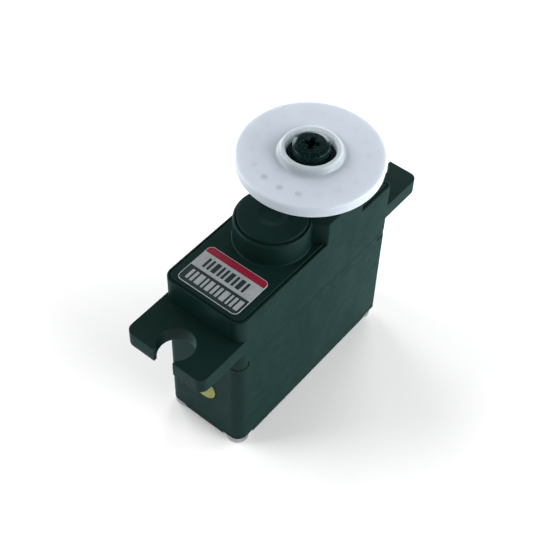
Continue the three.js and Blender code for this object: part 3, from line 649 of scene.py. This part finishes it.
BLACK_PLASTIC = moulded_plastic(
    "black_plastic", (0.0050, 0.0156, 0.0130), (0.0062, 0.0178, 0.0149), roughness=0.42)
CHIP_BLACK = moulded_plastic(
    "moulded_black", (0.012, 0.012, 0.013), (0.02, 0.02, 0.021), roughness=0.45, grain=0.000008)
CERAMIC = moulded_plastic(
    "ceramic", (0.40, 0.22, 0.09), (0.48, 0.28, 0.13), roughness=0.32, grain=0.000006)
NYLON = nylon()
BLACK_STEEL = black_oxide()
SCREW_STEEL = machined_metal("screw_steel", (0.29, 0.30, 0.29), (0.42, 0.43, 0.42), roughness=0.26)
GEAR_STEEL = machined_metal("gear_steel", (0.42, 0.42, 0.43), (0.58, 0.58, 0.58), roughness=0.28)
MOTOR_STEEL = machined_metal("motor_steel", (0.44, 0.45, 0.46), (0.56, 0.57, 0.57), roughness=0.3, pitch=1800)
BRASS = machined_metal("brass", (0.58, 0.38, 0.12), (0.74, 0.53, 0.2), roughness=0.26)
COPPER = machined_metal("bare_copper", (0.55, 0.25, 0.13), (0.7, 0.36, 0.2), roughness=0.3)
MAGNET = machined_metal(
    "magnet", (0.05, 0.05, 0.055), (0.1, 0.1, 0.11), roughness=0.5, pitch=4200, depth=0.000004)
WIRE = enamelled_wire()
BOARD = circuit_board_green()
RUBBER = rubber()
FOIL = foil("label_foil", (0.27, 0.29, 0.30), (0.37, 0.39, 0.40), metallic=0.35, roughness=0.34)
INK_DARK = foil("label_ink_dark", (0.003, 0.013, 0.015), (0.006, 0.018, 0.020), metallic=0.0, roughness=0.5)
INK_RED = foil("label_ink_red", (0.14, 0.003, 0.015), (0.21, 0.006, 0.022), metallic=0.0, roughness=0.45)
YELLOW_PAPER = paper("yellow_sticker", (0.16, 0.17, 0.035), (0.28, 0.29, 0.05))

# The CAD nodes that are shown as they are, under the material of each.
CARRIED = {
    GEAR_STEEL: ("output_shaft", "gear_3", "idler_pin", "upper_pin", "motor_shaft", "pot_wiper"),
    SCREW_STEEL: ("pot_terminal_1", "pot_terminal_2", "pot_terminal_3"),
    BRASS: ("output_bearing", "lower_bushing", "gear_1", "gear_2", "motor_bushing", "motor_pinion"),
    MOTOR_STEEL: ("motor_can", "armature_core", "capacitor"),
    CHIP_BLACK: ("motor_end_cap", "pot_body", "controller_chip", "driver_chip"),
    COPPER: ("commutator", "brush_1", "brush_2"),
    WIRE: ("winding_1", "winding_2", "winding_3"),
    MAGNET: ("magnet_1", "magnet_2"),
    BOARD: ("circuit_board",),
    CERAMIC: ("resonator",),
}
for finish, names in CARRIED.items():
    for carried_node in names:
        for material_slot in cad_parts[carried_node].material_slots:
            material_slot.material = finish

# ---------------------------------------------------------------- case


def case_inset(distance):
    """An outline maker for the case's own outline, moved inwards by distance."""
    return lambda inset=0.0: case_outline(inset + distance)


def corner_pairs():
    """The signs of X and Y at the case's four corners."""
    return [(sx, sy) for sx in (1, -1) for sy in (1, -1)]


def screw_columns(radius, bottom, top):
    """A round column at each of the four case screws."""
    return [slab(circle(radius, steps=32, x=sx * CASE_SCREW["x"], y=sy * CASE_SCREW["y"]), bottom, top)
            for sx, sy in corner_pairs()]


def beyond_corner(sx, sy, in_x, in_y, bottom, top):
    """Everything beyond in_x and in_y at one corner of the case."""
    x = sorted((sx * in_x, sx * FAR))
    y = sorted((sy * in_y, sy * FAR))
    return box(*x, *y, bottom, top)


def interior(bottom, top):
    """The hollow inside the case, less the posts that the screws run in."""
    hollow = slab(rectangle(HALF_LENGTH - WALL, HALF_WIDTH - WALL, CORNER["inside"]), bottom, top)
    return cut(hollow, screw_columns(CASE_SCREW["post"], bottom - PAST, top + PAST))


def keyhole(inset=0.0):
    """The ear's slot: a round seat that is open at the ear's end."""
    radius = EAR["slot"] - inset
    half = EAR["mouth"] - inset
    start = math.asin(half / radius)
    sweep = 2 * math.pi - 2 * start
    open_end = TOP_HIGH[0] + PAST
    points = [Vector((open_end, -half)), Vector((open_end, half))]
    for k in range(EAR["slot_steps"] + 1):
        angle = start + sweep * k / EAR["slot_steps"]
        points.append(Vector((EAR["slot_x"] + radius * math.cos(angle), radius * math.sin(angle))))
    return points


def ear():
    """The ear at the output end, rooted inside the case."""
    root = HALF_LENGTH - CORNER["label_end"]
    end = TOP_HIGH[0]
    corners = [(root, -HALF_WIDTH, 0), (end, -HALF_WIDTH, EAR["corner"]),
               (end, HALF_WIDTH, EAR["corner"]), (root, HALF_WIDTH, 0)]
    plate = slab(outline_of(corners), EAR["bottom"], EAR["top"], EAR["edge"], EAR["edge"])
    return cut(plate, [slab(keyhole, EAR["bottom"] - HAIR, EAR["top"] + HAIR, -EAR["flare"], -EAR["flare"])])


def tower():
    """The raised block that holds the output bearing, with a narrow neck towards the boss."""
    half, side = TOWER["neck_half"], HALF_WIDTH
    neck, near, far = TOWER["neck"], TOWER["near"], TOWER["far"]
    corners = [
        (neck, -half, TOWER["neck_corner"]), (near, -side, TOWER["near_corner"]),
        (far, -side, TOWER["far_corner"]), (far, side, TOWER["far_corner"]),
        (near, side, TOWER["near_corner"]), (neck, half, TOWER["neck_corner"]),
    ]
    return slab(outline_of(corners), DECK["underside"], TOWER["top"], high=TOWER["edge"])


def boss():
    """The round boss over the idler gears, with a groove round its cap and a shallow dish in its top."""
    under, deck, top = DECK["underside"], DECK["top"], TOP_HIGH[2]
    radius, shoulder, cap = BOSS["radius"], BOSS["shoulder"], BOSS["cap"]
    base = radius + BOSS["foot"] + FIT
    groove_floor = shoulder - BOSS_GROOVE["depth"]
    return turned([
        (0, under, 0), (base, under, 0), (base, deck, 0), (radius, deck, BOSS["foot"]),
        (radius, shoulder, BOSS["shoulder_edge"]),
        (cap + BOSS_GROOVE["mouth"], shoulder, BOSS_GROOVE["mouth_edge"]),
        (cap + BOSS_GROOVE["floor"], groove_floor, BOSS_GROOVE["floor_edge"]),
        (cap, groove_floor, BOSS_GROOVE["floor_edge"]), (cap, top, BOSS["edge"]),
        *((corner, top - depth, edge) for corner, depth, edge in BOSS_DISH),
    ], steps=128, x=IDLER_X)


def top_shell():
    """Deck, tower, boss and ears in one hollow piece, with feet that stand in the middle shell's notches."""
    under = DECK["underside"]
    rim = slab(case_outline, under, DECK["rim"], high=DECK["rim_edge"])
    outside = join([
        slab(case_outline, SEAM, DECK["groove"], SEAM_EDGE),
        cut(rim, [slab(case_inset(DECK["rim_inset"]), under - PAST, DECK["rim"] + PAST)]),
        slab(case_inset(DECK["inset"]), under, DECK["top"], high=DECK["edge"]),
        tower(),
        boss(),
        ear(),
        moved(ear(), turn_z(180)),
    ])
    in_x, in_y = NOTCH["x"] + NOTCH["gap"], NOTCH["y"] + NOTCH["gap"]
    feet = slab(case_inset(NOTCH["recess"]), NOTCH["floor"] + NOTCH["gap"], SEAM + NOTCH["root"])
    feet = cut(feet, [box(-in_x, in_x, -FAR, FAR, 0, FAR), box(-FAR, FAR, -in_y, in_y, 0, FAR)])
    outside = join([outside, feet])
    outside = cut(outside, [interior(NOTCH["floor"] - PAST, under)])
    outside = cut(outside, [
        *screw_columns(CASE_SCREW["hole"], NOTCH["floor"] - PAST, CASE_SCREW["hole_top"]),
        slab(circle(BOSS["hollow"], steps=64, x=IDLER_X), under - PAST, BOSS["hollow_top"]),
    ])
    bearing_hole = BEARING_HIGH[0] - OUTPUT_X + FIT
    return cut(outside, [
        slab(circle(PIN_HOLE["radius"], steps=32, x=IDLER_X), PIN_HOLE["idler_low"], PIN_HOLE["idler_top"]),
        slab(circle(PIN_HOLE["radius"], steps=32, x=MOTOR_X), under - PAST, PIN_HOLE["upper_top"]),
        slab(circle(bearing_hole, steps=64, x=OUTPUT_X), under - PAST, TOWER["top"] + PAST),
    ])


def middle_shell():
    """The middle of the case: a gear plate across its top, open below, with a window for the wire gland."""
    shell = slab(case_outline, MIDDLE_LOW[2], SEAM, SHELL_FOOT_EDGE, SEAM_EDGE)
    shell = cut(shell, [beyond_corner(sx, sy, NOTCH["x"], NOTCH["y"], NOTCH["floor"], SEAM + PAST)
                        for sx, sy in corner_pairs()])
    shell = cut(shell, [interior(MIDDLE_LOW[2] - PAST, GEAR_PLATE)])
    low, high = GEAR_PLATE - PAST, SEAM + PAST
    window = [GLAND_LOW[1] + GLAND["lap_y"], GLAND_HIGH[1] - GLAND["lap_y"],
              GLAND_LOW[2] + GLAND["lap_z"], GLAND_HIGH[2] - GLAND["lap_z"]]
    return cut(shell, [
        *screw_columns(CASE_SCREW["hole"], 0, NOTCH["floor"] + PAST),
        slab(circle(MOTOR_HOLE, steps=48, x=MOTOR_X), low, high),
        slab(circle(PIN_HOLE["radius"], steps=32, x=IDLER_X), low, high),
        slab(circle(BUSHING_HOLE, steps=48, x=OUTPUT_X), low, high),
        box(HALF_LENGTH - WALL - PAST, HALF_LENGTH + PAST, *window),
    ])


def bottom_plate():
    """The flat cover: pockets for the screw heads, and ejector marks and a shallow panel on its underside."""
    low, high = COVER_LOW[2], COVER_HIGH[2]
    plate = slab(case_outline, low, high, COVER["low_edge"], COVER["high_edge"])
    ejector_marks = [slab(circle(EJECTOR["radius"], steps=40, x=x, y=y), low - PAST, low + EJECTOR["depth"])
                     for x in (-EJECTOR["x"], 0, EJECTOR["x"]) for y in (-EJECTOR["y"], EJECTOR["y"])]
    panel_outline = rectangle(PANEL["half_x"], PANEL["half_y"], PANEL["corner"])
    return cut(plate, [
        *screw_columns(CASE_SCREW["hole"], 0, high + PAST),
        *screw_columns(CASE_SCREW["pocket"], low - PAST, low + CASE_SCREW["pocket_depth"]),
        *ejector_marks,
        slab(panel_outline, low - HAIR, low + PANEL["depth"], -PANEL["flare"]),
    ])


def cross_recess(size, bottom, top):
    """A cross-shaped punch that narrows downwards. Its size has half an arm's length and half its width."""
    def outline(scale):
        a, b = size["reach"] * scale, size["half"] * scale
        corners = [(a, -b), (a, b), (b, b), (b, a), (-b, a), (-b, b),
                   (-a, b), (-a, -b), (-b, -b), (-b, -a), (b, -a), (b, -b)]
        return rounded([(x, y, size["half"] * RECESS_CORNER) for x, y in corners], steps=3)
    levels = ((bottom, size["taper"]), (top, 1.0))
    return loft([[(p.x, p.y, z) for p in outline(scale)] for z, scale in levels])


def case_screw():
    """Pan-headed screw that points upwards, with the face of its head at z = 0."""
    head, dome, shank = CASE_SCREW["head"], CASE_SCREW["dome"], CASE_SCREW["shank"]
    seat = COVER_LOW[2] + CASE_SCREW["pocket_depth"] - FIT
    screw = turned([
        (0, 0, 0), (head - dome, FIT, CASE_SCREW["dome_edge"]), (head, dome, CASE_SCREW["dome_edge"]),
        (head, seat, CASE_SCREW["seat_edge"]), (shank, seat, 0),
        (shank, CASE_SCREW["shank_top"], CASE_SCREW["shank_edge"]), (0, CASE_SCREW["tip"], 0),
    ], steps=64)
    depth, past = CASE_RECESS["depth"], CASE_RECESS["past"]
    punch = cross_recess(CASE_RECESS, -past, depth)
    face_down = Matrix.Translation((0, 0, depth - past)) @ Matrix.Rotation(math.pi, 4, "X")
    return cut(screw, [moved(punch, face_down)])


finish_piece(top_shell(), "top_shell", "case", "black_plastic", BLACK_PLASTIC, "top_case")
finish_piece(middle_shell(), "middle_shell", "case", "black_plastic", BLACK_PLASTIC, "middle_case")
finish_piece(bottom_plate(), "bottom_plate", "case", "black_plastic", BLACK_PLASTIC, "bottom_cover")
for screw_number in range(1, 5):
    low, high = node_box(f"case_screw_{screw_number}")
    centre = ((low[0] + high[0]) / 2, (low[1] + high[1]) / 2, 0)
    screw = moved(case_screw(), Matrix.Translation(centre) @ turn_z(CASE_SCREW["turn"] * screw_number))
    finish_piece(screw, f"pan_screw_{screw_number}", "case", "screw_steel", SCREW_STEEL,
                 f"case_screw_{screw_number}")

# ---------------------------------------------------------------- label, sticker and cable inlet

LABEL_X = (LABEL_LOW[0] + LABEL_HIGH[0]) / 2
LABEL_HALF = ((LABEL_HIGH[0] - LABEL_LOW[0]) / 2, (LABEL_HIGH[1] - LABEL_LOW[1]) / 2)
INK_BOTTOM = LABEL_HIGH[2] - LABEL_INK["sunk"]


def ink_band(x0, x1, corner_low, corner_high):
    """One printed band, from x0 to x1 across the label, with its own corner radii at each end."""
    half = LABEL_HALF[1] - LABEL["border"]
    corners = [(x1, -half, corner_high), (x1, half, corner_high),
               (x0, half, corner_low), (x0, -half, corner_low)]
    return slab(outline_of(corners), INK_BOTTOM - LABEL_INK["lap"], INK_BOTTOM + LABEL_INK["thick"])


def print_bars(x0, x1, row):
    """A row of plain bars across the label from x0 to x1, side by side towards -Y, less the row's margins."""
    x0, x1 = x0 + row["low_margin"], x1 - row["high_margin"]
    levels = (INK_BOTTOM - LABEL_INK["bar_lap"], INK_BOTTOM + LABEL_INK["bar_thick"])
    start = row["start"]
    bars = []
    for width in row["widths"]:
        sides = ((x0, start - width), (x1, start - width), (x1, start), (x0, start))
        outline = rounded([(x, y, LABEL_INK["bar_corner"]) for x, y in sides], steps=3)
        bars.append(loft([[(p.x, p.y, z) for p in outline] for z in levels]))
        start -= width + row["gap"]
    return gather(bars)


def label():
    """The label: foil with a dark and a red band, and plain bars where the photographed one has print."""
    low, high = LABEL_LOW[0] + LABEL["border"], LABEL_HIGH[0] - LABEL["border"]
    dark_to, red_from = low + LABEL["dark_width"], high - LABEL["red_width"]
    outer, inner = LABEL["corner"] - LABEL["border"], LABEL["inner_corner"]
    foil_plate = slab(rectangle(*LABEL_HALF, LABEL["corner"]), LABEL_LOW[2], INK_BOTTOM, high=LABEL["edge"])
    moved(foil_plate, Matrix.Translation((LABEL_X, 0, 0)))
    pieces = {
        "label_foil": (foil_plate, FOIL),
        "label_dark_band": (ink_band(low, dark_to, outer, inner), INK_DARK),
        "label_red_band": (ink_band(red_from, high, inner, outer), INK_RED),
        "label_pale_bars": (print_bars(low, dark_to, PALE_BARS), FOIL),
        "label_dark_bars": (print_bars(dark_to, red_from, DARK_BARS), INK_DARK),
    }
    for name, (piece, material) in pieces.items():
        nodes = ["label"] if name == "label_foil" else []
        finish_piece(piece, name, "case", "label_print", material, *nodes)


label()


def along_x(piece, x):
    """Turns a piece so that it rises along the case from x. Its own X turns to Y, and its own Y to Z."""
    axes = Matrix(((0, 0, 1), (1, 0, 0), (0, 1, 0))).to_4x4()
    return moved(piece, Matrix.Translation((x, 0, 0)) @ axes)


def dot_sticker():
    """The round paper dot on the label end of the case."""
    middle = (DOT_LOW[2] + DOT_HIGH[2]) / 2
    radius = (DOT_HIGH[2] - DOT_LOW[2]) / 2
    thickness = DOT_HIGH[0] - DOT_LOW[0]
    dot = slab(circle(radius, steps=72, y=middle), 0, thickness, DOT_EDGE)
    return along_x(dot, DOT_LOW[0])


def wire_gland():
    """Rubber block with a flange on each side of the end wall and a hole for each of three wires."""
    middle = (GLAND_LOW[2] + GLAND_HIGH[2]) / 2
    half_y, half_z = GLAND_HIGH[1], GLAND_HIGH[2] - middle
    start, length = GLAND_LOW[0], GLAND_HIGH[0] - GLAND_LOW[0]
    wall_out, wall_in = HALF_LENGTH + GLAND["slack"], HALF_LENGTH - WALL - GLAND["slack"]

    def outline(shrink, radius):
        make = rectangle(half_y - shrink, half_z - shrink, radius)
        return lambda inset=0.0: [p + Vector((0, middle)) for p in make(inset)]
    core, flange = outline(GLAND["shrink"], GLAND["core_corner"]), outline(0, GLAND["corner"])
    block = join([
        along_x(slab(core, 0, length, high=GLAND["core_edge"]), start),
        along_x(slab(flange, 0, wall_in - start, GLAND["inner_edge"]), start),
        along_x(slab(flange, 0, GLAND["flange"], 0, GLAND["flange_edge"]), wall_out),
    ])
    wires = [slab(circle(GLAND["wire"], steps=32, x=y, y=middle), 0, GLAND["wire_reach"])
             for y in (-GLAND["pitch"], 0, GLAND["pitch"])]
    return cut(block, [along_x(wire_hole, start - PAST) for wire_hole in wires])


finish_piece(dot_sticker(), "dot_sticker", "case", "yellow_sticker", YELLOW_PAPER, "inspection_sticker")
finish_piece(wire_gland(), "wire_gland", "case", "black_rubber", RUBBER, "cable_grommet")

# ---------------------------------------------------------------- horn and its screw


def pilot_places():
    """The centres of the ring of pilot holes."""
    step = 2 * math.pi / PILOT["count"]
    angles = [math.radians(PILOT["phase"]) + i * step for i in range(PILOT["count"])]
    return [(OUTPUT_X + PILOT["circle"] * math.cos(a), PILOT["circle"] * math.sin(a)) for a in angles]


def round_horn():
    """The round horn: a disc with a collar below, a hub round the screw's recess, and blind pilot holes."""
    bottom, top, hub_top = HORN["disc_bottom"], HORN["disc_top"], HORN_HIGH[2]
    socket_top = bottom + HORN["socket_rise"]
    recess, hole, floor_z = HORN_RECESS["radius"], HORN_RECESS["hole"], HORN_RECESS["floor"]
    narrowed = recess - HORN_RECESS["taper"]
    horn = turned([
        (HORN["socket"], HORN_LOW[2], HORN["mouth_edge"]), (HORN["collar"], HORN_LOW[2], HORN["collar_edge"]),
        (HORN["collar"], bottom, HORN["collar_foot"]), (HORN_RADIUS, bottom, HORN["low_edge"]),
        (HORN_RADIUS, top, HORN["high_edge"]), (HORN["hub"] + HORN["hub_slope"], top, HORN["hub_foot"]),
        (HORN["hub"], hub_top, HORN["hub_edge"]),
        (recess + HORN_RECESS["lip"], hub_top, HORN_RECESS["lip_edge"]),
        (narrowed, hub_top - HORN_RECESS["taper_depth"], HORN_RECESS["taper_edge"]),
        (narrowed, floor_z, HORN_RECESS["floor_edge"]), (hole, floor_z, HORN_RECESS["hole_edge"]),
        (hole, socket_top, HORN_RECESS["hole_edge"]), (HORN["socket"], socket_top, HORN["socket_edge"]),
    ], steps=160, x=OUTPUT_X, closed=True)
    pilot, above = PILOT["radius"], top + PILOT["above"]
    holes = [slab(circle(pilot, steps=24, x=x, y=y), bottom - PAST, bottom + PILOT["depth"])
             for x, y in pilot_places()]
    sink = [(0, top - PILOT["sink"], 0), (pilot, top + HAIR, PILOT["sink_edge"]),
            (pilot, above, 0), (0, above, 0)]
    sinks = [turned(sink, steps=24, x=x, y=y) for x, y in pilot_places()]
    return cut(horn, holes + sinks)


def centre_screw():
    """Black flanged screw with a domed pan head, which stands proud of the hub."""
    size = CENTRE_SCREW
    low, top = SCREW_LOW[2], SCREW_HIGH[2]
    seat = HORN_RECESS["floor"] + size["gap"]
    flange, flange_top = HORN_RECESS["radius"] - size["flange_gap"], seat + size["flange"]
    body = turned([
        (0, low, 0), (size["shank"], low + size["tip"], 0), (size["shank"], seat, 0),
        (flange, seat, size["flange_low_edge"]), (flange, flange_top, size["flange_edge"]),
        (size["neck"], flange_top + size["flange_slope"], size["edge"]),
        (size["shoulder"], top - size["shoulder_drop"], size["edge"]),
        (size["dome"], top - size["dome_drop"], size["dome_edge"]), (0, top, 0),
    ], steps=96)
    punch = cross_recess(CENTRE_RECESS, top - CENTRE_RECESS["depth"], top + CENTRE_RECESS["past"])
    return moved(cut(body, [moved(punch, turn_z(size["turn"]))]), Matrix.Translation((OUTPUT_X, 0, 0)))


finish_piece(round_horn(), "round_horn", "output", "white_nylon", NYLON, "disc_horn")
finish_piece(centre_screw(), "centre_screw", "output", "black_steel", BLACK_STEEL, "horn_screw")

# ---------------------------------------------------------------- floor and light

FLOOR = {"size": 3.0, "dark": (0.91, 0.91, 0.91), "light": (0.94, 0.94, 0.94), "roughness": 0.8, "mottle": 30}


def floor():
    """A pale mottled floor under the servo."""
    half = FLOOR["size"] / 2
    corners = [(-half, -half, 0), (half, -half, 0), (half, half, 0), (-half, half, 0)]
    mesh = bpy.data.meshes.new("floor")
    mesh.from_pydata(corners, [], [(0, 1, 2, 3)])
    ground = bpy.data.objects.new("floor", mesh)
    bpy.context.scene.collection.objects.link(ground)
    material, shader = new_material("floor", Roughness=FLOOR["roughness"])
    mottle = noise(material, scale=FLOOR["mottle"], detail=2)
    wire(material, shader, Base_Color=blend_colours(material, mottle, FLOOR["dark"], FLOOR["light"]))
    mesh.materials.append(material)


AIM = Vector((0, 0, 0.02))

# Each soft box is a disk: where it stands, how wide it is, and how bright it makes a surface that faces it.
SOFT_BOXES = {
    "front": ((0.10, -0.48, 0.16), 0.32, 1.10),
    "front_right": ((0.38, -0.28, 0.18), 0.32, 0.64),
    "right": ((0.48, 0.20, 0.16), 0.32, 0.52),
    "behind": ((0.15, 0.55, 0.15), 0.36, 0.71),
    "behind_left": ((-0.30, 0.50, 0.40), 0.50, 0.69),
    "far_left": ((-0.45, 0.45, 0.15), 0.36, 0.29),
}
WORLD = {"colour": (1.0, 1.0, 1.0, 1.0), "strength": 0.2}
WATTS_AT_ONE_METRE = 10.0


def soft_box(name, place, size, brightness):
    """A round soft box at place, facing the middle of the servo."""
    away = Vector(place) - AIM
    data = bpy.data.lights.new(name, "AREA")
    data.shape = "DISK"
    data.size = size
    data.energy = brightness * WATTS_AT_ONE_METRE * away.length_squared
    light = bpy.data.objects.new(name, data)
    light.location = place
    light.rotation_euler = away.to_track_quat("Z", "Y").to_euler()
    bpy.context.scene.collection.objects.link(light)


def studio():
    """The dim white surroundings and the soft boxes."""
    world = bpy.data.worlds.new("studio")
    world.use_nodes = True
    background = world.node_tree.nodes["Background"]
    background.inputs["Color"].default_value = WORLD["colour"]
    background.inputs["Strength"].default_value = WORLD["strength"]
    bpy.context.scene.world = world
    for name, (place, size, brightness) in SOFT_BOXES.items():
        soft_box(name, place, size, brightness)


bpy.context.scene.view_settings.view_transform = "Standard"
floor()
studio()
